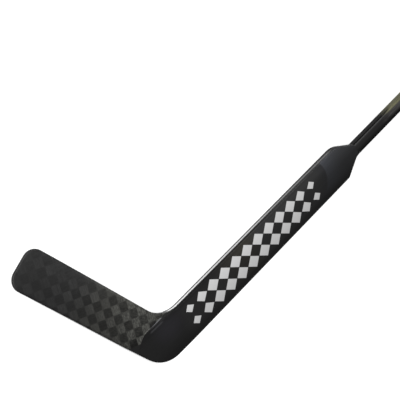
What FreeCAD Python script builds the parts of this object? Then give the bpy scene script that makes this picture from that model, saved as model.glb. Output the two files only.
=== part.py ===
import FreeCAD, Part
import math
import os
from FreeCAD import Vector

# A goalie stick lies on its forehand side: X runs up the shaft from the heel, Y runs across the
# paddle towards the blade, Z is up. Until export, X = Y = 0 is the sharp corner at which the lines of
# the blade's lower edge and of the paddle's heel-side edge would meet, and Z = 0 is the resting plane.

# Driving dimensions, in millimetres and degrees

LIE_ANGLE = 113.0            # inside angle from the blade's lower edge round to the paddle
HEEL_RADIUS = 64.0
ROCKER_LENGTH = 108.0        # the lower edge starts to lift this far from the heel corner
ROCKER_RISE = 2.7            # and has lifted this far, measured along the paddle, at the heel
ROCKER_RADIUS = 2000.0
THROAT_RADIUS = 66.0         # hollow corner between the blade's upper edge and the paddle

BLADE_LENGTH = 395.4         # heel corner to toe
BLADE_HEEL_HEIGHT = 87.0     # at the heel corner
BLADE_TOE_HEIGHT = 89.5      # at the toe
TOE_LEAN = 6.0               # the toe's end leans back this far at the top
TOE_RADIUS = 26.0
BLADE_DEPTH = 12.0           # thickness, up to where the curve starts
TOE_DEPTH = 6.0
CURVE_DEPTH = 7.0            # how far the toe's middle falls below the heel's
FACE_CURVE_START = 110.0     # distance from the heel corner at which the blade's faces start to bend
FACE_SPAN_COUNT = 9          # arcs in their curve
INSIDE_CURVE_START = 106.0   # the same for the faces under its skins: no joint of one curve lies over
INSIDE_SPAN_COUNT = 10       # a joint of the other
BLADE_SKIN = 1.2
BLADE_RIM_RADIUS = 2.6
EDGE_BAND_WIDTH = 4.0
RIB_THICKNESS = 2.0
RIB_HEIGHT = 44.0            # middle of the rib above the blade's lower edge
RIB_START = 30.0             # distance from the heel corner

PADDLE_LENGTH = 677.0        # heel corner to the neck joint
PADDLE_WIDTH = 82.6
PADDLE_DEPTH = 20.0
PADDLE_SKIN = 1.4
PADDLE_WALL = 2.0
PADDLE_RIM_RADIUS = 3.0
SEAM_OFFSET = 7.7            # joint between paddle and blade, beyond the paddle's toe-side edge
SEAM_SWEEP_START = 22.0      # nearer the heel than this, the joint sweeps round to the lower edge
SEAM_SWEEP_RADIUS = 60.0
CREASE_ANGLE = 28.0          # slope by which the paddle's faces drop to the blade's at the joint
RAMP_START = -40.0           # the faces rise from blade depth to paddle depth between these two
RAMP_END = 115.0
HEEL_BLOCK_END = 120.0
WEB_THICKNESS = 1.8
WEB_SETBACK = 28.0           # webs stop this far below the neck joint
CORE_SETBACK = 16.0          # side cores stop this far below the neck joint

TOE_SHOULDER_LENGTH = 46.0   # slanted end of the paddle's toe-side edge
TOE_SHOULDER_RADIUS = 48.0
TOE_NECK_SETBACK = 1.0
TOE_NECK_RADIUS = 3.0
HEEL_SHOULDER_LENGTH = 46.5  # slanted end of the paddle's heel-side edge
HEEL_SHOULDER_RADIUS = 14.0
HEEL_NECK_SETBACK = 7.0
HEEL_NECK_RADIUS = 28.0

SHAFT_LENGTH = 843.0         # neck joint to the open top end
SHAFT_WIDTH = 28.4
SHAFT_OFFSET = 25.2          # from the paddle's heel-side edge to the shaft's
SHAFT_WALL = 2.0
SHAFT_CORNER = 4.0
TENON_LENGTH = 110.0         # in each of the two pieces that it joins
FIT_CLEARANCE = 0.1

PLUG_CAP_LENGTH = 6.0
PLUG_CAP_ROUNDING = 2.0
PLUG_STEM_LENGTH = 42.0
PLUG_STEM_CLEARANCE = 0.6
PLUG_RIB_LENGTH = 3.0
PLUG_RIB_PITCH = 11.0
PLUG_RIB_COUNT = 3

# Values that follow from them

MIDDLE = PADDLE_DEPTH / 2    # height of the middle plane of shaft, paddle and heel
SEAM = PADDLE_WIDTH + SEAM_OFFSET
NECK = PADDLE_LENGTH
SHAFT_END = NECK + SHAFT_LENGTH
SHAFT_FAR = SHAFT_OFFSET + SHAFT_WIDTH
CHANNEL_NEAR = SHAFT_OFFSET + PADDLE_WALL
CHANNEL_FAR = SHAFT_FAR - PADDLE_WALL
OVERRUN = 20.0               # how far raw shapes run past the plane that trims them
REACH = 2 * (SHAFT_END + BLADE_LENGTH)
STACK = 5 * PADDLE_DEPTH     # height of shapes that cut at any height
TOLERANCE = 1e-3
REST_POINT = Vector((RAMP_END + NECK - TOE_SHOULDER_LENGTH) / 2, PADDLE_WIDTH / 2, 0)


def on_blade(along, up):
    """Plan position of a point of the blade, from its distance to the heel corner and its height."""
    lie = math.radians(LIE_ANGLE)
    return (along * math.cos(lie) + up * math.sin(lie),
            along * math.sin(lie) - up * math.cos(lie))


def rounded_outline(corners):
    """Closed wire of straight sides joined by tangent arcs; a corner is (x, y, radius)."""
    points = [Vector(x, y, 0) for x, y, radius in corners]
    stations = []
    for index, (x, y, radius) in enumerate(corners):
        corner = points[index]
        back = (points[index - 1] - corner).normalize()
        ahead = (points[(index + 1) % len(points)] - corner).normalize()
        half = back.getAngle(ahead) / 2
        inward = (back + ahead).normalize()
        reach = radius / math.tan(half)
        crown = corner + inward * (radius / math.sin(half) - radius)
        stations.append((corner + back * reach, crown, corner + ahead * reach))
    edges = []
    for index, (entry, crown, leave) in enumerate(stations):
        if not entry.isEqual(leave, TOLERANCE):
            edges.append(Part.Arc(entry, crown, leave).toShape())
        edges.append(Part.makeLine(leave, stations[(index + 1) % len(stations)][0]))
    return Part.Wire(edges)


def upright(wire):
    """Prism over a plan outline, tall enough for every section."""
    return Part.Face(wire).extrude(Vector(0, 0, STACK)).translated(Vector(0, 0, MIDDLE - STACK / 2))


def zone(x_low, x_high, y_low, y_high):
    """Block that keeps one stretch of plan, at any height."""
    return Part.makeBox(x_high - x_low, y_high - y_low, STACK, Vector(x_low, y_low, MIDDLE - STACK / 2))


def level_arc(level_end, other_end):
    """Arc in the XZ plane that leaves its first point along X and ends in the other."""
    run = other_end.x - level_end.x
    rise = other_end.z - level_end.z
    radius = (run ** 2 + rise ** 2) / (2 * abs(rise))
    half = math.asin(abs(run) / radius) / 2
    crown = level_end + Vector(math.copysign(radius * math.sin(half), run), 0,
                               math.copysign(radius * (1 - math.cos(half)), rise))
    return Part.Arc(level_end, crown, other_end).toShape()


def extruded_profile(upper, lower):
    """Solid between two chains of edges in the XZ plane, wide enough for the whole plan."""
    ends = [(chain[0].valueAt(chain[0].FirstParameter), chain[-1].valueAt(chain[-1].LastParameter))
            for chain in (upper, lower)]
    sides = [Part.makeLine(ends[0][k], ends[1][k]) for k in (0, 1)]
    wire = Part.Wire(Part.__sortEdges__(upper + lower + sides))
    return Part.Face(wire).extrude(Vector(0, 2 * REACH, 0)).translated(Vector(0, -REACH, 0))


def paddle_profile(inset):
    """Paddle and heel seen from the edge: blade depth at the heel, an ogee ramp, then full depth."""
    chains = []
    for side in (1, -1):
        low = MIDDLE + side * (BLADE_DEPTH / 2 - inset)
        high = MIDDLE + side * (PADDLE_DEPTH / 2 - inset)
        foot = Vector(RAMP_START, 0, low)
        top = Vector(RAMP_END, 0, high)
        turn = (foot + top) / 2
        chains.append([Part.makeLine(Vector(-REACH, 0, low), foot), level_arc(foot, turn),
                       level_arc(top, turn), Part.makeLine(top, Vector(REACH, 0, high))])
    return extruded_profile(*chains)


def crease_profile(inset):
    """Half of the plan up to the seam, bevelled so that the paddle comes down to the blade's faces there."""
    drop = inset / math.cos(math.radians(CREASE_ANGLE))
    fall = OVERRUN * math.tan(math.radians(CREASE_ANGLE))
    corners = []
    for side in (1, -1):
        foot = Vector(-REACH, SEAM, MIDDLE + side * (BLADE_DEPTH / 2 - drop))
        corners.append([foot, foot + Vector(0, -OVERRUN, side * fall),
                        Vector(-REACH, -REACH, foot.z + side * fall)])
    upper, lower = corners
    wire = Part.makePolygon(upper + lower[::-1] + upper[:1])
    return Part.Face(wire).extrude(Vector(2 * REACH, 0, 0))


def tightening_curve(start, run, drop, count):
    """Chain of arcs that leaves its first point along X and bends down ever tighter, by drop over run."""
    span = (run + OVERRUN) / count
    growth = 6 * drop / run ** 3      # a bend that grows evenly gives a depth of growth * length ** 3 / 6
    arcs = []
    slope = 0
    for index in range(count):
        turn = growth * (index + 0.5) * span ** 2
        radius = span / turn
        centre = start - Vector(math.sin(slope), 0, math.cos(slope)) * radius
        middle, end = [centre + Vector(math.sin(angle), 0, math.cos(angle)) * radius
                       for angle in (slope + turn / 2, slope + turn)]
        arcs.append(Part.Arc(start, middle, end).toShape())
        start = end
        slope += turn
    return arcs


def blade_profile(inset, curve_start, spans):
    """Blade seen from its lower edge: level near the heel, then a tightening curve on each face."""
    chains = []
    taper = (BLADE_DEPTH - TOE_DEPTH) / 2
    for side in (1, -1):
        start = Vector(curve_start, 0, MIDDLE + side * (BLADE_DEPTH / 2 - inset))
        curve = tightening_curve(start, BLADE_LENGTH - curve_start, CURVE_DEPTH + side * taper, spans)
        chains.append([Part.makeLine(Vector(-REACH, 0, start.z), start)] + curve)
    profile = extruded_profile(*chains)
    profile.rotate(Vector(0, 0, 0), Vector(0, 0, 1), LIE_ANGLE)
    return profile


def is_wall(face):
    """True for a face that stands upright."""
    u_low, u_high, v_low, v_high = face.ParameterRange
    return abs(face.normalAt((u_low + u_high) / 2, (v_low + v_high) / 2).z) < TOLERANCE


def round_rim(body, radius, cut_ends):
    """Round the edges between the faces and the walls; walls lying in cut_ends stay sharp."""
    rim = []
    for edge in body.Edges:
        faces = body.ancestorsOfType(edge, Part.Face)
        walls = [face for face in faces if is_wall(face)]
        if len(faces) == 2 and len(walls) == 1:
            spot = walls[0].CenterOfMass
            if not any(abs(spot[axis] - place) < TOLERANCE for axis, place in cut_ends):
                rim.append(edge)
    return body.makeFillet(radius, rim)


def rounded_bar(x_low, x_high, width, depth, corner):
    """Bar along the shaft's axis with a rounded rectangular section."""
    y_low = SHAFT_OFFSET + (SHAFT_WIDTH - width) / 2
    z_low = MIDDLE - depth / 2
    bar = Part.makeBox(x_high - x_low, width, depth, Vector(x_low, y_low, z_low))
    lengthwise = [edge for edge in bar.Edges if abs(edge.tangentAt(edge.FirstParameter).x) > 0.99]
    return bar.makeFillet(corner, lengthwise)


def by_height(solid):
    return solid.CenterOfMass.z


def by_side(solid):
    return solid.CenterOfMass.y


# Plan outline of blade, heel, paddle and shoulders, with a stub of shaft that the neck joint trims

top_slope = (BLADE_TOE_HEIGHT - BLADE_HEEL_HEIGHT) / BLADE_LENGTH
lie = math.radians(LIE_ANGLE)
# Along the upper edge, Y = along * sin(lie) - height * cos(lie) reaches the paddle's toe-side edge here
throat_along = ((PADDLE_WIDTH + BLADE_HEEL_HEIGHT * math.cos(lie))
                / (math.sin(lie) - top_slope * math.cos(lie)))
throat = on_blade(throat_along, BLADE_HEEL_HEIGHT + top_slope * throat_along)
outline = rounded_outline([
    (*on_blade(BLADE_LENGTH, 0), TOE_RADIUS),
    (*on_blade(ROCKER_LENGTH, 0), ROCKER_RADIUS),
    (ROCKER_RISE, 0, HEEL_RADIUS),
    (NECK - HEEL_NECK_SETBACK - HEEL_SHOULDER_LENGTH, 0, HEEL_SHOULDER_RADIUS),
    (NECK - HEEL_NECK_SETBACK, SHAFT_OFFSET, HEEL_NECK_RADIUS),
    (NECK + OVERRUN, SHAFT_OFFSET, 0),
    (NECK + OVERRUN, SHAFT_FAR, 0),
    (NECK - TOE_NECK_SETBACK, SHAFT_FAR, TOE_NECK_RADIUS),
    (NECK - TOE_NECK_SETBACK - TOE_SHOULDER_LENGTH, PADDLE_WIDTH, TOE_SHOULDER_RADIUS),
    (*throat, THROAT_RADIUS),
    (*on_blade(BLADE_LENGTH - TOE_LEAN, BLADE_TOE_HEIGHT), TOE_RADIUS),
])
sweep_end = SEAM_SWEEP_START - SEAM_SWEEP_RADIUS
paddle_side = upright(rounded_outline([
    (sweep_end, -REACH, 0),
    (NECK, -REACH, 0),
    (NECK, SEAM, 0),
    (sweep_end, SEAM, SEAM_SWEEP_RADIUS),
]))

# Paddle and heel: one outer form, split into two skins, two edge walls and what lies between

raw_paddle = upright(outline).common(zone(-REACH, REACH, -REACH, SEAM + OVERRUN)).common(paddle_profile(0))
paddle_form = round_rim(raw_paddle, PADDLE_RIM_RADIUS, [(0, NECK + OVERRUN), (1, SEAM + OVERRUN)])
paddle_form = paddle_form.common(paddle_side).common(crease_profile(0))
paddle_inside = paddle_profile(PADDLE_SKIN).common(crease_profile(PADDLE_SKIN))
forehand_skin, backhand_skin = sorted(paddle_form.cut(paddle_inside).Solids, key=by_height)
paddle_layer = paddle_form.common(paddle_inside)
paddle_hollow = upright(outline.makeOffset2D(-PADDLE_WALL, 2))
heel_side_wall, toe_side_wall = sorted(paddle_layer.cut(paddle_hollow).Solids, key=by_side)
paddle_filling = paddle_layer.common(paddle_hollow)

# Blade: the same split, with a rim band in place of the edge walls

blade_root = SEAM - SEAM_SWEEP_RADIUS
raw_blade = upright(outline).common(zone(-REACH, RAMP_END, blade_root, REACH)).common(
    blade_profile(0, FACE_CURVE_START, FACE_SPAN_COUNT))
blade_form = round_rim(raw_blade, BLADE_RIM_RADIUS, [(0, RAMP_END), (1, blade_root)]).cut(paddle_side)
blade_inside = blade_profile(BLADE_SKIN, INSIDE_CURVE_START, INSIDE_SPAN_COUNT)
blade_forehand_skin, blade_backhand_skin = sorted(blade_form.cut(blade_inside).Solids, key=by_height)
blade_layer = blade_form.common(blade_inside)
blade_hollow = upright(outline.makeOffset2D(-EDGE_BAND_WIDTH, 2))
blade_edge_band = blade_layer.cut(blade_hollow)
rib_line = zone(RIB_START, BLADE_LENGTH, -RIB_HEIGHT - RIB_THICKNESS / 2, -RIB_HEIGHT + RIB_THICKNESS / 2)
rib_line.rotate(Vector(0, 0, 0), Vector(0, 0, 1), LIE_ANGLE)
blade_rib = rib_line.common(blade_inside).common(blade_hollow).cut([forehand_skin, backhand_skin])
blade_cores = blade_layer.common(blade_hollow).cut(blade_rib).Solids
blade_lower_core, blade_upper_core = sorted(blade_cores, key=lambda solid: solid.CenterOfMass.x)

# Filling of the paddle: heel block, two webs in line with the shaft's sides, three foam cores

heel_block = paddle_filling.common(zone(-REACH, HEEL_BLOCK_END, -REACH, REACH)).cut(blade_rib)
web_end = NECK - WEB_SETBACK
core_end = NECK - CORE_SETBACK
heel_side_web = paddle_filling.common(
    zone(HEEL_BLOCK_END, web_end, CHANNEL_NEAR - WEB_THICKNESS, CHANNEL_NEAR))
toe_side_web = paddle_filling.common(
    zone(HEEL_BLOCK_END, web_end, CHANNEL_FAR, CHANNEL_FAR + WEB_THICKNESS))
heel_side_core = paddle_filling.common(
    zone(HEEL_BLOCK_END, core_end, -REACH, CHANNEL_NEAR)).cut(heel_side_web)
toe_side_core = paddle_filling.common(
    zone(HEEL_BLOCK_END, core_end, CHANNEL_FAR, REACH)).cut(toe_side_web)
middle_core = paddle_filling.common(
    zone(HEEL_BLOCK_END, NECK - TENON_LENGTH, CHANNEL_NEAR, CHANNEL_FAR))

# Shaft, the stepped tenon that joins it to the paddle, and the plug in its top end

bore_width = SHAFT_WIDTH - 2 * SHAFT_WALL
bore_depth = PADDLE_DEPTH - 2 * SHAFT_WALL
bore_corner = SHAFT_CORNER - SHAFT_WALL
bore = rounded_bar(NECK - OVERRUN, SHAFT_END + OVERRUN, bore_width, bore_depth, bore_corner)
shaft_tube = rounded_bar(NECK, SHAFT_END, SHAFT_WIDTH, PADDLE_DEPTH, SHAFT_CORNER).cut(bore)
slack = 2 * FIT_CLEARANCE
tenon_in_paddle = rounded_bar(NECK - TENON_LENGTH, NECK, SHAFT_WIDTH - 2 * PADDLE_WALL - slack,
                              PADDLE_DEPTH - 2 * PADDLE_SKIN - slack, bore_corner)
tenon_in_shaft = rounded_bar(NECK, NECK + TENON_LENGTH, bore_width - slack, bore_depth - slack, bore_corner)
neck_tenon = tenon_in_paddle.fuse(tenon_in_shaft)

plug_cap = rounded_bar(SHAFT_END, SHAFT_END + PLUG_CAP_LENGTH, SHAFT_WIDTH, PADDLE_DEPTH, SHAFT_CORNER)
end_face = max(plug_cap.Faces, key=lambda face: face.CenterOfMass.x)
plug_cap = plug_cap.makeFillet(PLUG_CAP_ROUNDING, end_face.Edges)
butt_plug = plug_cap.fuse(rounded_bar(SHAFT_END - PLUG_STEM_LENGTH, SHAFT_END,
                                      bore_width - 2 * PLUG_STEM_CLEARANCE,
                                      bore_depth - 2 * PLUG_STEM_CLEARANCE, bore_corner))
for index in range(PLUG_RIB_COUNT):
    rib_end = SHAFT_END - PLUG_STEM_LENGTH + (index + 1) * PLUG_RIB_PITCH
    butt_plug = butt_plug.fuse(rounded_bar(rib_end - PLUG_RIB_LENGTH, rib_end, bore_width, bore_depth,
                                           bore_corner))

os.makedirs("parts", exist_ok=True)
pieces = {
    "paddle_backhand_skin": backhand_skin,
    "paddle_forehand_skin": forehand_skin,
    "paddle_toe_side_wall": toe_side_wall,
    "paddle_heel_side_wall": heel_side_wall,
    "paddle_toe_side_web": toe_side_web,
    "paddle_heel_side_web": heel_side_web,
    "paddle_toe_side_core": toe_side_core,
    "paddle_middle_core": middle_core,
    "paddle_heel_side_core": heel_side_core,
    "heel_block": heel_block,
    "blade_backhand_skin": blade_backhand_skin,
    "blade_forehand_skin": blade_forehand_skin,
    "blade_edge_band": blade_edge_band,
    "blade_upper_core": blade_upper_core,
    "blade_lower_core": blade_lower_core,
    "blade_rib": blade_rib,
    "shaft_tube": shaft_tube,
    "neck_tenon": neck_tenon,
    "butt_plug": butt_plug,
}
for name, shape in pieces.items():
    solid = shape.removeSplitter().translated(REST_POINT * -1)
    print(name, solid.ShapeType, len(solid.Solids), solid.isValid(), round(solid.Volume / 1000, 2))
    solid.exportStep(f"parts/{name}.step")
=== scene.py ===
import math

import bpy
import numpy as np
from mathutils import Matrix, Quaternion, Vector

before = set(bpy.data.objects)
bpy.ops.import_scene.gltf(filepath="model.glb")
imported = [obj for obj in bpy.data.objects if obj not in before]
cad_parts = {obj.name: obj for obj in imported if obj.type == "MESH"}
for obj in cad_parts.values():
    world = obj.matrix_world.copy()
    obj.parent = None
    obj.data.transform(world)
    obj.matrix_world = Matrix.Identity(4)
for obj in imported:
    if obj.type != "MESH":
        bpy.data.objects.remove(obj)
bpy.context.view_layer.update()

# Foam cores of paddle and blade.
# Closed-cell foam in pale straw, machined to shape and bonded between the skins; none of it shows
# on the finished stick.

CORE_PALE = (0.74, 0.66, 0.47, 1)
CORE_DEEP = (0.50, 0.42, 0.26, 1)
CORE_CELL = 0.0012


def add_node(tree, kind, sockets, **settings):
    """One node: settings are its attributes, sockets maps input names to values or to other outputs."""
    node = tree.nodes.new(kind)
    for key, value in settings.items():
        setattr(node, key, value)
    for key, value in sockets.items():
        if isinstance(value, bpy.types.NodeSocket):
            tree.links.new(value, node.inputs[key])
        else:
            node.inputs[key].default_value = value
    return node


def new_finish(name, **uniform):
    """Material with one Principled shader, whose uniform values stand on its own sockets."""
    material = bpy.data.materials.new(name)
    material.use_nodes = True
    tree = material.node_tree
    tree.nodes.clear()
    shader = add_node(tree, "ShaderNodeBsdfPrincipled",
                      {key.replace("_", " "): value for key, value in uniform.items()})
    add_node(tree, "ShaderNodeOutputMaterial", {"Surface": shader.outputs["BSDF"]})
    place = add_node(tree, "ShaderNodeTexCoord", {}).outputs["Object"]
    return material, tree, shader, place


def feed(tree, shader, **sources):
    """Links each output to the shader's socket of that name."""
    for key, source in sources.items():
        tree.links.new(source, shader.inputs[key.replace("_", " ")])


def calc(tree, operation, *values, clamp=False):
    """Result of one Math operation, held between 0 and 1 where clamp is set."""
    return add_node(tree, "ShaderNodeMath", dict(enumerate(values)), operation=operation,
                    use_clamp=clamp).outputs["Value"]


def ramped(tree, value, low, high, at_low=0.0, at_high=1.0):
    """Smooth step from at_low to at_high while value goes from low to high."""
    limits = {"From Min": low, "From Max": high, "To Min": at_low, "To Max": at_high}
    return add_node(tree, "ShaderNodeMapRange", {"Value": value, **limits},
                    interpolation_type="SMOOTHSTEP").outputs["Result"]


def blended(tree, factor, first, second):
    """Colour that goes from the first to the second as factor goes from 0 to 1."""
    return add_node(tree, "ShaderNodeMix", {0: factor, 6: first, 7: second}, data_type="RGBA").outputs[2]


def speckle(tree, vector, scale, detail=3.0, roughness=0.5):
    """Noise from 0 to 1 with scale blotches to the unit."""
    return add_node(tree, "ShaderNodeTexNoise",
                    {"Vector": vector, "Scale": scale, "Detail": detail, "Roughness": roughness}
                    ).outputs["Fac"]


def embossed(tree, shader, height, distance):
    """Bump from a height of 0 to 1 that stands for distance metres."""
    bump = add_node(tree, "ShaderNodeBump", {"Height": height, "Distance": distance})
    feed(tree, shader, Normal=bump.outputs["Normal"])


def dress(material, *names):
    """Gives the named solids this finish."""
    for name in names:
        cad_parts[name].material_slots[0].material = material


def foam_finish(name, pale, deep, cell):
    """Foam: rounded cells of about the given size, deeper in colour where the cell walls meet."""
    material, tree, shader, place = new_finish(name, Roughness=0.9)
    cells = add_node(tree, "ShaderNodeTexVoronoi", {"Vector": place, "Scale": 1 / cell})
    rim = ramped(tree, cells.outputs["Distance"], 0.2, 0.75)
    cloud = speckle(tree, place, 30)
    tone = calc(tree, "ADD", calc(tree, "MULTIPLY", rim, 0.6), calc(tree, "MULTIPLY", cloud, 0.4))
    feed(tree, shader, Base_Color=blended(tree, tone, pale, deep))
    embossed(tree, shader, calc(tree, "SUBTRACT", 1.0, rim), cell / 3)
    return material


dress(foam_finish("core_foam", CORE_PALE, CORE_DEEP, CORE_CELL),
      "paddle_toe_side_core", "paddle_middle_core", "paddle_heel_side_core",
      "blade_upper_core", "blade_lower_core")

# Heel block.
# Dense structural foam, darker and finer than the cores, machined to fill the heel and bonded in, where
# it carries the blade into the paddle.

HEEL_PALE = (0.42, 0.33, 0.21, 1)
HEEL_DEEP = (0.25, 0.18, 0.10, 1)
HEEL_CELL = 0.0006

dress(foam_finish("heel_foam", HEEL_PALE, HEEL_DEEP, HEEL_CELL), "heel_block")

# Webs, blade rib and neck tenon.
# Bare carbon laminate: two webs carry the shaft's sides down the paddle, a rib runs down the blade and
# the tenon joins shaft to paddle. Straight fibres under a dull resin.

LAMINATE_STRAND = (0.09, 0.0006, 0.0006)     # length, width and depth of a streak of fibres
LAMINATE_DEEP = (0.010, 0.010, 0.011, 1)
LAMINATE_PALE = (0.05, 0.05, 0.052, 1)


def placed(tree, place, location=(0, 0, 0), turn=0.0, size=(1, 1, 1)):
    """Coordinates seen from a spot, turned about Z and measured in units of size."""
    return add_node(tree, "ShaderNodeMapping",
                    {"Vector": place, "Location": location, "Rotation": (0, 0, turn), "Scale": size},
                    vector_type="TEXTURE").outputs["Vector"]


laminate, tree, shader, place = new_finish("bare_laminate", Roughness=0.45)
strands = speckle(tree, placed(tree, place, size=LAMINATE_STRAND), 1.0)
pale_share = ramped(tree, strands, 0.3, 0.75)
feed(tree, shader, Base_Color=blended(tree, pale_share, LAMINATE_DEEP, LAMINATE_PALE))
embossed(tree, shader, strands, 0.0001)
dress(laminate, "paddle_toe_side_web", "paddle_heel_side_web", "blade_rib", "neck_tenon")

# Blade skins.
# Spread-tow carbon cloth, its wide flat tows at 45 degrees to the blade, moulded under clear resin. The
# squares are real, but their tones are a painted sheen: darker where the lengthwise tow lies on top, fading
# towards the toe and lighter towards the upper edge. Painted shade runs along the lower edge and beside the
# crease, painted highlights lie along the crease and the upper rim, and the heel's black lacquer laps over
# its lower corner.

BLADE_TURN = math.radians(113)           # from the paddle's line to the blade's
HEEL_CORNER = (-0.373, -0.0413, 0)       # where the lower edges of paddle and blade would meet
CLOTH_LENGTH = 0.40
CLOTH_HEIGHT = 0.09
DARK_CROSSING = (0.2071, 0.0723)         # along the blade and up from its lower edge, at one dark square
TOW_SIZE = (0.0180, 0.0202, 0.02)        # across and along the line on which the drape stretches the cloth
DRAPE_TURN = math.radians(171.3)
TOW_TURN = math.radians(-12.9)           # of the tows, from that line
TOW_EDGE = 0.16                          # how softly one square goes over into the next
FIBRE_STREAK = (2.5, 0.03)               # length and width in tows
YARN_STREAK = (0.3, 0.12)
PALE_TONES = ((0.22, 0.057), (0.38, 0.0465), (0.50, 0.037), (0.62, 0.024), (0.70, 0.020), (0.78, 0.018),
              (0.92, 0.0125))            # share of the cloth's length, and tone
DEEP_TONES = ((0.22, 0.0240), (0.31, 0.0222), (0.39, 0.0198), (0.47, 0.0174), (0.54, 0.0159),
              (0.62, 0.0164), (0.70, 0.0160), (0.78, 0.014), (0.92, 0.0105))
PLAIN = (1, 1, 1, 1)
OLIVE = (1.01, 1.01, 0.92, 1)
CREASE_SHADE = (0.050, 0.060)            # Y beside the crease, where dark squares get painted shade
SEAM_ALONG = (-0.374, -0.358, -0.351, -0.3475)     # painted highlight on the cloth's end at the crease, in X and in Y
SEAM_ACROSS = (0.0468, 0.0476, 0.0496, 0.0506)
RIM_GLINT_ALONG = (0.34, 0.42, 0.60, 0.85)            # painted highlight along the upper rim, as shares of length and height
RIM_GLINT_UP = (0.905, 0.94)
LAP_CORNER = (-0.390, 0.0415, 0)         # on the line to which the lacquer laps over the cloth
LAP_TURN = math.radians(-20.3)
LAP_EDGE = 0.0006
LAP_BLACK = (0.0095, 0.0095, 0.0095, 1)


def axis_of(tree, vector, name):
    """One of a vector's X, Y and Z."""
    return add_node(tree, "ShaderNodeSeparateXYZ", {"Vector": vector}).outputs[name]


def share(tree, value, start, width):
    """0 at start and 1 a width further on, held there at both ends."""
    return calc(tree, "MULTIPLY_ADD", value, 1 / width, -start / width, clamp=True)


def product(tree, first, *others):
    """All the values multiplied together."""
    for other in others:
        first = calc(tree, "MULTIPLY", first, other)
    return first


def between(tree, value, start, full, fading, end):
    """1 while value lies from full to fading, easing to 0 at start and at end."""
    return product(tree, ramped(tree, value, start, full), ramped(tree, value, end, fading))


def scaled(tree, colour, factor):
    """Colour made lighter or darker by a factor."""
    return add_node(tree, "ShaderNodeVectorMath", {0: colour, "Scale": factor}, operation="SCALE").outputs[0]


def tinted(tree, colour, tint):
    """Colour multiplied by a tint, channel by channel."""
    return add_node(tree, "ShaderNodeVectorMath", {0: colour, 1: tint}, operation="MULTIPLY").outputs[0]


def graded(tree, value, *stops):
    """Grey that runs through the stops, each a place from 0 to 1 and a brightness."""
    ramp = add_node(tree, "ShaderNodeValToRGB", {"Fac": value})
    marks = ramp.color_ramp.elements
    for index, (at, level) in enumerate(stops):
        mark = marks[index] if index < len(marks) else marks.new(at)
        mark.position = at
        mark.color = (level, level, level, 1)
    return ramp.outputs["Color"]


def tow_streaks(tree, cloth, dark_tow, length, width):
    """Noise drawn out along the tow that lies on top, in streaks of this length and width in tows."""
    lengthwise = speckle(tree, placed(tree, cloth, size=(length, width, 1)), 1.0)
    crosswise = speckle(tree, placed(tree, cloth, size=(width, length, 1)), 1.0)
    return add_node(tree, "ShaderNodeMix", {0: dark_tow, 2: crosswise, 3: lengthwise}).outputs[0]


weave, tree, shader, place = new_finish("spread_tow_cloth", Specular_IOR_Level=0.2, Coat_Weight=0.15,
                                        Coat_Roughness=0.25)
along = axis_of(tree, place, "X")
across = axis_of(tree, place, "Y")
on_blade = placed(tree, place, HEEL_CORNER, BLADE_TURN)
towards_toe = calc(tree, "DIVIDE", axis_of(tree, on_blade, "X"), CLOTH_LENGTH)
upwards = share(tree, axis_of(tree, on_blade, "Y"), 0.0, -CLOTH_HEIGHT)

# Squares: a cosine along each tow, and the sign of their product says which tow lies on top
step, rise = DARK_CROSSING
crossing = (HEEL_CORNER[0] + step * math.cos(BLADE_TURN) + rise * math.sin(BLADE_TURN),
            HEEL_CORNER[1] + step * math.sin(BLADE_TURN) - rise * math.cos(BLADE_TURN), 0)
cloth = placed(tree, placed(tree, place, crossing, DRAPE_TURN, TOW_SIZE), turn=TOW_TURN)
angles = [calc(tree, "MULTIPLY", axis_of(tree, cloth, axis), math.pi) for axis in "XY"]
on_top = product(tree, *[calc(tree, "COSINE", angle) for angle in angles])
dark_tow = ramped(tree, on_top, -TOW_EDGE, TOW_EDGE)
fibres = tow_streaks(tree, cloth, dark_tow, *FIBRE_STREAK)
yarns = tow_streaks(tree, cloth, dark_tow, *YARN_STREAK)

# Tones of the two tows, a painted sheen, which fades towards the toe and lightens towards the upper edge
fading = calc(tree, "ADD", towards_toe, ramped(tree, upwards, 0.5, 0.35, 0.0, 0.05))
pale_tow = scaled(tree, graded(tree, fading, *PALE_TONES), ramped(tree, upwards, 0.0, 1.0, 0.84, 1.16))
deep_tow = scaled(tree, graded(tree, towards_toe, *DEEP_TONES),
                  calc(tree, "ADD", calc(tree, "POWER", upwards, 2.0), 0.55))
deep_tow = scaled(tree, deep_tow, ramped(tree, across, *CREASE_SHADE, 0.4, 1.0))
olive = blended(tree, ramped(tree, towards_toe, 0.75, 0.45), PLAIN, OLIVE)
cloth_tone = tinted(tree, blended(tree, dark_tow, pale_tow, deep_tow), olive)

# Glint: fibres, painted shade along the lower edge, each square's own tone, yarns, a painted highlight at
# the seam and one along the upper rim
square = add_node(tree, "ShaderNodeVectorMath", {0: placed(tree, cloth, (-0.5, -0.5, 0))},
                  operation="FLOOR").outputs[0]
own_tone = add_node(tree, "ShaderNodeTexWhiteNoise", {"Vector": square},
                    noise_dimensions="2D").outputs["Value"]
mottle = product(tree, ramped(tree, yarns, 0.25, 0.75, -0.6, 0.6),
                 ramped(tree, towards_toe, 0.22, 0.55, 1.0, 0.25))
lit_seam = product(tree, between(tree, across, *SEAM_ACROSS), between(tree, along, *SEAM_ALONG))
rim_glint = product(tree, between(tree, towards_toe, *RIM_GLINT_ALONG), ramped(tree, upwards, *RIM_GLINT_UP))
glint = product(tree,
                ramped(tree, fibres, 0.25, 0.75, 0.75, 1.25),
                ramped(tree, upwards, 0.0, 0.06, 0.3, 1.0),
                ramped(tree, own_tone, 0.0, 1.0, 0.86, 1.14),
                calc(tree, "ADD", mottle, 1.0),
                ramped(tree, lit_seam, 0.0, 1.0, 1.0, 2.8),
                ramped(tree, rim_glint, 0.0, 1.0, 1.0, 1.35))

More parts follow.
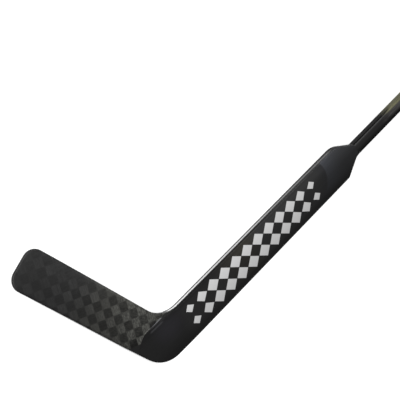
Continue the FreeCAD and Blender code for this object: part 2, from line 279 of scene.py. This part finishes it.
past_lap = axis_of(tree, placed(tree, place, LAP_CORNER, LAP_TURN), "Y")
lap = ramped(tree, past_lap, LAP_EDGE, -LAP_EDGE)
feed(tree, shader, Base_Color=blended(tree, lap, scaled(tree, cloth_tone, glint), LAP_BLACK),
     Roughness=ramped(tree, fibres, 0.2, 0.8, 0.38, 0.55))
embossed(tree, shader, fibres, 0.00002)
dress(weave, "blade_backhand_skin", "blade_forehand_skin")

# Blade edge band.
# Solid strip of black resin and fibre, moulded round the blade's rim flush with both skins and dulled
# by use.

SMEAR = (0.03, 0.004, 0.004)
RESIN_DEEP = (0.008, 0.008, 0.008, 1)
RESIN_PALE = (0.022, 0.022, 0.022, 1)

edging, tree, shader, place = new_finish("rim_resin", Specular_IOR_Level=0.3)
smears = speckle(tree, placed(tree, place, turn=BLADE_TURN, size=SMEAR), 1.0, 5.0, 0.6)
feed(tree, shader, Base_Color=blended(tree, ramped(tree, smears, 0.3, 0.8), RESIN_DEEP, RESIN_PALE),
     Roughness=ramped(tree, smears, 0.2, 0.8, 0.35, 0.6))
embossed(tree, shader, smears, 0.00005)
dress(edging, "blade_edge_band")

# Paddle walls.
# Moulded carbon edges bonded between the two skins and lacquered black. A bright band along the middle, laid
# out like a silver pinstripe, is a painted reflection of the lamps that fades out towards the shoulder, and
# the grey below it is a painted reflection of the floor.

WALL_START = -0.3
WALL_LENGTH = 0.6
GLARE_FOOT = (0.006, 0.008)             # heights over which the painted reflection sets in and ends
GLARE_TOP = (0.0135, 0.0115)
GLARE_TONES = ((0.0, 1.0), (0.15, 0.85), (0.3, 0.68), (0.45, 0.60), (0.58, 0.30), (0.75, 0.19),
                (0.885, 0.125), (0.92, 0.005))     # share of the wall's length, and tone
# Tones below the band: a grey painted reflection of the floor
FLOOR_GLARE_TONES = ((0.0, 0.12), (0.45, 0.10), (0.56, 0.02), (0.75, 0.01), (0.85, 0.004))
ABOVE_TONES = ((0.5, 0.004), (0.62, 0.03), (0.88, 0.04), (0.92, 0.008))
PAST_HEEL = (-0.303, -0.288)
HEEL_WALL_BLACK = (0.004, 0.004, 0.004, 1)

walls, tree, shader, place = new_finish("edge_lacquer", Specular_IOR_Level=0.08)
along = axis_of(tree, place, "X")
length = share(tree, along, WALL_START, WALL_LENGTH)
height = calc(tree, "SUBTRACT", axis_of(tree, place, "Z"), ramped(tree, length, 0.6, 0.9, 0.0, 0.002))
widening = ramped(tree, length, 0.76, 0.90, 0.0, 0.003)
# Bright band along the middle of the wall: a painted reflection, laid out like a silver pinstripe
painted_glare = product(tree, ramped(tree, height, *GLARE_FOOT),
                 ramped(tree, calc(tree, "SUBTRACT", height, widening), *GLARE_TOP))
black = blended(tree, painted_glare, graded(tree, length, *ABOVE_TONES), graded(tree, length, *GLARE_TONES))
under = ramped(tree, height, *reversed(GLARE_FOOT))
black = blended(tree, under, black, graded(tree, length, *FLOOR_GLARE_TONES))
black = blended(tree, ramped(tree, along, *PAST_HEEL), HEEL_WALL_BLACK, black)
peel = speckle(tree, place, 500, 2.0)
feed(tree, shader, Base_Color=black, Roughness=ramped(tree, peel, 0.3, 0.7, 0.42, 0.58))
embossed(tree, shader, peel, 0.00001)
dress(walls, "paddle_toe_side_wall", "paddle_heel_side_wall")

# Paddle skins.
# Straight-fibre carbon, bonded over the foam under a deep black lacquer, its tone growing lighter towards
# the toe side. Past a bowed line at the shoulder the face turns slate, a painted reflection. The heel gets
# painted shade and a painted reflection of the softbox, and the crease gets painted highlights. Silver
# lozenges are screened onto the backhand face.

PADDLE_EDGE = -0.0413
PADDLE_WIDTH = 0.0826
PADDLE_GRAIN = (0.12, 0.0008, 0.01)
MIDDLE_TONES = ((0.12, 0.0020), (0.22, 0.0070), (0.45, 0.009), (0.66, 0.0125), (0.80, 0.024),
                (0.88, 0.0275), (0.97, 0.023))     # share of the paddle's width, and tone
SHOULDER_TONES = ((0.1, 0.0008), (0.27, 0.007), (0.5, 0.012), (0.7, 0.0225), (0.92, 0.039), (1.0, 0.045))
HEEL_TONES = ((0.12, 0.002), (0.22, 0.005), (0.4, 0.0095), (0.87, 0.010), (0.95, 0.006))
MIDDLE_HUE = (1.03, 1.03, 1.05, 1)
WARM_HUE = (1.14, 1.06, 0.86, 1)
# The dim and slate hues at the shoulder are painted reflection
DIM_HUE = (0.87, 0.88, 0.97, 1)
SLATE_HUE = (1.18, 1.25, 1.46, 1)
NECK_HUE = (0.95, 0.97, 1.05, 1)
WARM_ALONG = (-0.20, -0.14, -0.07, -0.02)
BOW_CREST = 0.022                        # Y at which the shoulder's line reaches furthest up the paddle
BOW = 12.5                               # how fast it falls back on both sides of that, with the square of Y
DIM_ALONG = (0.170, 0.199)
SLATE_START = (0.1995, 0.2045)
SLATE_FADE = (0.262, 0.202)
HEEL_ALONG = (-0.05, -0.20)
HEEL_SHADE = (-0.30, -0.26)
LAMP_SHEEN_SPOT = (-0.314, 0.021, 0)           # painted reflection of the softbox on the heel
LAMP_SHEEN_SIZE = (0.045, 0.032, 1)
LAMP_SHEEN_TONE = (0.0098, 0.0092, 0.0115, 1)
RAMP_SLOPE = (0.97, 0.92)                # Z of the face's normal, from the flat face to the heel's ramp
RAMP_SHADE = 0.7                         # share of the tone taken off on the ramp, as painted shade
FOLD_ALONG = (-0.357, -0.349, -0.322, -0.316)      # painted highlight above the crease, in X and in Y
FOLD_ACROSS = (0.0385, 0.0405, 0.0425, 0.0435)
FOLD_GLINT_TONE = (0.028, 0.028, 0.030, 1)
FOOT_GLINT_ALONG = (-0.356, -0.322, -0.319, -0.313)     # painted highlight at the foot of the crease, in X and in Y
FOOT_GLINT_ACROSS = (0.0472, 0.0480)
FOOT_GLINT_TONE = (0.13, 0.13, 0.14, 1)
LOZENGE_SIZE = (0.0367, 0.031, 1)
BAND_CENTRE = (-0.052, 0.0027, 0)
BAND_LENGTH = 0.440
BAND_TAPER = 0.09                        # at each end, where the lozenges are smaller
SILVER_DULL = (0.40, 0.40, 0.40, 1)
SILVER_BRIGHT = (0.62, 0.62, 0.62, 1)

for face, printed in (("paddle_backhand_skin", True), ("paddle_forehand_skin", False)):
    lacquer, tree, shader, place = new_finish(face + "_lacquer", Specular_IOR_Level=0.2, Coat_Roughness=0.08)
    along = axis_of(tree, place, "X")
    toe_side = axis_of(tree, place, "Y")
    across = share(tree, toe_side, PADDLE_EDGE, PADDLE_WIDTH)
    grain = speckle(tree, placed(tree, place, size=PADDLE_GRAIN), 1.0)

    # Middle and the shoulder's painted reflection, a dim band and then slate, which meet on the bowed line
    off_crest = calc(tree, "SUBTRACT", toe_side, BOW_CREST)
    bowed = calc(tree, "MULTIPLY_ADD", product(tree, off_crest, off_crest), BOW, along)
    hue = blended(tree, between(tree, along, *WARM_ALONG), MIDDLE_HUE, WARM_HUE)
    hue = blended(tree, ramped(tree, bowed, *DIM_ALONG), hue, DIM_HUE)
    middle = tinted(tree, graded(tree, across, *MIDDLE_TONES), hue)
    slate = blended(tree, ramped(tree, along, *SLATE_FADE), NECK_HUE, SLATE_HUE)
    shoulder_reflection = tinted(tree, graded(tree, across, *SHOULDER_TONES), slate)
    black = blended(tree, ramped(tree, bowed, *SLATE_START), middle, shoulder_reflection)

    # Heel, with painted shade towards its corner and on its ramp, and a painted reflection of the softbox in
    # the middle
    near_heel = ramped(tree, along, *HEEL_ALONG)
    normal = add_node(tree, "ShaderNodeTexCoord", {}).outputs["Normal"]
    sloping = ramped(tree, calc(tree, "ABSOLUTE", axis_of(tree, normal, "Z")), *RAMP_SLOPE)
    from_sheen = add_node(tree, "ShaderNodeVectorMath",
                         {0: placed(tree, place, LAMP_SHEEN_SPOT, size=LAMP_SHEEN_SIZE)},
                         operation="LENGTH").outputs["Value"]
    heel = scaled(tree, graded(tree, across, *HEEL_TONES), ramped(tree, along, *HEEL_SHADE, 0.5, 1.0))
    heel = blended(tree, ramped(tree, from_sheen, 1.2, 0.2), heel, LAMP_SHEEN_TONE)
    heel = scaled(tree, heel, calc(tree, "MULTIPLY_ADD", sloping, -RAMP_SHADE, 1.0))
    black = blended(tree, near_heel, black, heel)
    black = scaled(tree, black, ramped(tree, grain, 0.25, 0.75, 0.85, 1.15))

    # Painted highlights along the crease
    fold_glint = product(tree, between(tree, toe_side, *FOLD_ACROSS), between(tree, along, *FOLD_ALONG))
    black = blended(tree, fold_glint, black, FOLD_GLINT_TONE)
    foot_glint = product(tree, between(tree, along, *FOOT_GLINT_ALONG), ramped(tree, toe_side, *FOOT_GLINT_ACROSS))
    black = blended(tree, foot_glint, black, FOOT_GLINT_TONE)

    if printed:
        # Distance from the nearest lozenge's middle: each axis is folded about half a cell
        cell = placed(tree, place, BAND_CENTRE, size=LOZENGE_SIZE)
        cell_x = axis_of(tree, cell, "X")
        cell_y = axis_of(tree, cell, "Y")
        folded = [calc(tree, "PINGPONG", calc(tree, "ADD", axis, 0.5), 0.5) for axis in (cell_x, cell_y)]
        from_middle = calc(tree, "ADD", *folded)
        from_centre = calc(tree, "ABSOLUTE", calc(tree, "MULTIPLY", cell_x, LOZENGE_SIZE[0]))
        from_end = calc(tree, "SUBTRACT", BAND_LENGTH / 2, from_centre)
        reach = ramped(tree, from_end, 0.0, BAND_TAPER, 0.30, 0.48)
        in_band = product(tree, calc(tree, "GREATER_THAN", from_end, 0.0),
                          calc(tree, "LESS_THAN", calc(tree, "ABSOLUTE", cell_y), 1.0))
        ink = product(tree, in_band, ramped(tree, calc(tree, "SUBTRACT", reach, from_middle), -0.01, 0.01))
        black = blended(tree, ink, black, blended(tree, across, SILVER_DULL, SILVER_BRIGHT))

    coat = ramped(tree, product(tree, near_heel, sloping), 0.0, 1.0, 1.0, 0.15)
    feed(tree, shader, Base_Color=black, Coat_Weight=coat,
         Roughness=ramped(tree, grain, 0.2, 0.8, 0.34, 0.46))
    embossed(tree, shader, grain, 0.00002)
    dress(lacquer, face)

# Shaft.
# Hollow carbon tube, moulded and then bonded over the tenon. Satin black, with an olive gold haze that sets
# in above the neck on the toe side. A painted highlight runs along the toe-side corner, and painted shade
# darkens the haze over the side.

SHAFT_EDGE = -0.0159
SHAFT_WIDTH = 0.0284
SHAFT_STRAND = (0.15, 0.0008, 0.0008)
HAZE_STREAK = (0.025, 0.0035, 0.0035)
SATIN_TONES = ((0.1, 0.004), (0.35, 0.0115), (0.5, 0.0185), (0.65, 0.0195), (0.8, 0.028), (0.88, 0.075),
               (0.95, 0.002))            # share of the shaft's width, and tone, with a painted highlight at the toe-side corner
HAZE_ALONG = (0.408, 0.462, 0.70, 0.95)
HAZE_ACROSS = (0.25, 0.5)
HAZE_GREY = (0.060, 0.058, 0.057, 1)
HAZE_GOLD = (0.20, 0.195, 0.120)
GOLD_ACROSS = (0.73, 0.91)
# The gold darkens over the side as painted shade
GOLD_FADE = ((0.9, 1.0), (0.98, 0.62))

shaft, tree, shader, place = new_finish("shaft_satin", Specular_IOR_Level=0.06)
across = share(tree, axis_of(tree, place, "Y"), SHAFT_EDGE, SHAFT_WIDTH)
strands = speckle(tree, placed(tree, place, size=SHAFT_STRAND), 1.0)
streaks = speckle(tree, placed(tree, place, size=HAZE_STREAK), 1.0)
set_in = calc(tree, "ADD", axis_of(tree, place, "X"), ramped(tree, streaks, 0.3, 0.7, -0.012, 0.012))
haze = product(tree, between(tree, set_in, *HAZE_ALONG), ramped(tree, across, *HAZE_ACROSS))
gold = scaled(tree, HAZE_GOLD, graded(tree, across, *GOLD_FADE))
hue = blended(tree, ramped(tree, across, *GOLD_ACROSS), HAZE_GREY, gold)
hue = scaled(tree, hue, ramped(tree, streaks, 0.3, 0.7, 0.8, 1.2))
satin = blended(tree, haze, graded(tree, across, *SATIN_TONES), hue)
feed(tree, shader, Base_Color=scaled(tree, satin, ramped(tree, strands, 0.25, 0.75, 0.85, 1.15)),
     Roughness=ramped(tree, strands, 0.25, 0.75, 0.42, 0.58))
embossed(tree, shader, strands, 0.00003)
dress(shaft, "shaft_tube")

# Butt plug.
# Moulded black rubber, pressed into the shaft's open end, matt and a little dusty.

RUBBER_DEEP = (0.012, 0.012, 0.012, 1)
RUBBER_DUSTY = (0.028, 0.028, 0.028, 1)

rubber, tree, shader, place = new_finish("plug_rubber_black", Roughness=0.75)
dust = speckle(tree, place, 900, 4.0, 0.6)
feed(tree, shader, Base_Color=blended(tree, dust, RUBBER_DEEP, RUBBER_DUSTY))
embossed(tree, shader, dust, 0.00008)
dress(rubber, "butt_plug")

# Studio.
# Pale paper floor, a dim even room, a large soft lamp by the camera and a long strip lamp overhead that
# draws a thin line along the toe-side edges.

FLOOR_HALF = 6.0
FLOOR_DROP = 0.0002                      # just under the faces that the stick lies on
PAPER = (0.9, 0.9, 0.9, 1)
WHITE = (1, 1, 1, 1)
FLOOR_GLOW = 0.33                        # seen by the camera near the stick, and full further out
GLOW_REACH = (0.8, 2.5)
MIRRORED_GLOW = 0.22
ROOM_LIGHT = 0.14
# Each lamp's name, place, aim, two sides and watts
LAMPS = (("softbox", (-0.95, 1.05, 2.4), (0.0, 0.1, 0.0), 2.2, 2.2, 85),
         ("strip", (0.9, 0.62, 2.0), (0.9, 0.62, 0.0), 3.2, 0.5, 8))
CAMERA_PLACE = (-1.0625, 1.1035, 1.9321)
CAMERA_AIM = (-0.0893, 0.1705, 0.0)
CAMERA_ROLL = math.radians(95.46)
CAMERA_LENS = 102.2


def facing(place, aim, roll=0.0):
    """Placement at a spot that looks towards the aim, rolled about that line."""
    turn = (Vector(aim) - Vector(place)).to_track_quat("-Z", "Y") @ Quaternion((0, 0, 1), roll)
    return Matrix.Translation(place) @ turn.to_matrix().to_4x4()


floor_mesh = bpy.data.meshes.new("floor")
corners = np.array([(-1, -1), (1, -1), (1, 1), (-1, 1)]) * FLOOR_HALF
floor_mesh.from_pydata([(*corner, -FLOOR_DROP) for corner in corners], [], [(0, 1, 2, 3)])
floor = bpy.data.objects.new("floor", floor_mesh)
bpy.context.scene.collection.objects.link(floor)
paper = bpy.data.materials.new("floor_paper")
paper.use_nodes = True
tree = paper.node_tree
tree.nodes.clear()
path = add_node(tree, "ShaderNodeLightPath", {}).outputs
mirrored = calc(tree, "MAXIMUM", path["Is Glossy Ray"], path["Is Transmission Ray"])
spot = add_node(tree, "ShaderNodeTexCoord", {}).outputs["Object"]
distance = add_node(tree, "ShaderNodeVectorMath", {0: spot}, operation="LENGTH").outputs["Value"]
seen = product(tree, path["Is Camera Ray"], ramped(tree, distance, *GLOW_REACH, FLOOR_GLOW, 1.0))
glow = calc(tree, "MULTIPLY_ADD", mirrored, MIRRORED_GLOW, seen)
matt = add_node(tree, "ShaderNodeBsdfDiffuse", {"Color": PAPER})
lift = add_node(tree, "ShaderNodeEmission", {"Color": WHITE, "Strength": glow})
both = add_node(tree, "ShaderNodeAddShader", {0: matt.outputs[0], 1: lift.outputs[0]})
add_node(tree, "ShaderNodeOutputMaterial", {"Surface": both.outputs[0]})
floor_mesh.materials.append(paper)

world = bpy.data.worlds.new("studio")
bpy.context.scene.world = world
world.use_nodes = True
tree = world.node_tree
tree.nodes.clear()
looked_at = add_node(tree, "ShaderNodeLightPath", {}).outputs["Is Camera Ray"]
strength = ramped(tree, looked_at, 0.0, 1.0, ROOM_LIGHT, 1.0)
sky = add_node(tree, "ShaderNodeBackground", {"Color": WHITE, "Strength": strength})
add_node(tree, "ShaderNodeOutputWorld", {"Surface": sky.outputs[0]})

for name, place, aim, width, length, power in LAMPS:
    lamp_data = bpy.data.lights.new(name, "AREA")
    lamp_data.shape = "RECTANGLE"
    lamp_data.size = width
    lamp_data.size_y = length
    lamp_data.energy = power
    lamp = bpy.data.objects.new(name, lamp_data)
    lamp.matrix_world = facing(place, aim)
    bpy.context.scene.collection.objects.link(lamp)

camera_data = bpy.data.cameras.new("camera")
camera_data.sensor_width = 36
camera_data.lens = CAMERA_LENS
camera = bpy.data.objects.new("camera", camera_data)
camera.matrix_world = facing(CAMERA_PLACE, CAMERA_AIM, CAMERA_ROLL)
bpy.context.scene.collection.objects.link(camera)
bpy.context.scene.camera = camera
bpy.context.scene.view_settings.view_transform = "Standard"
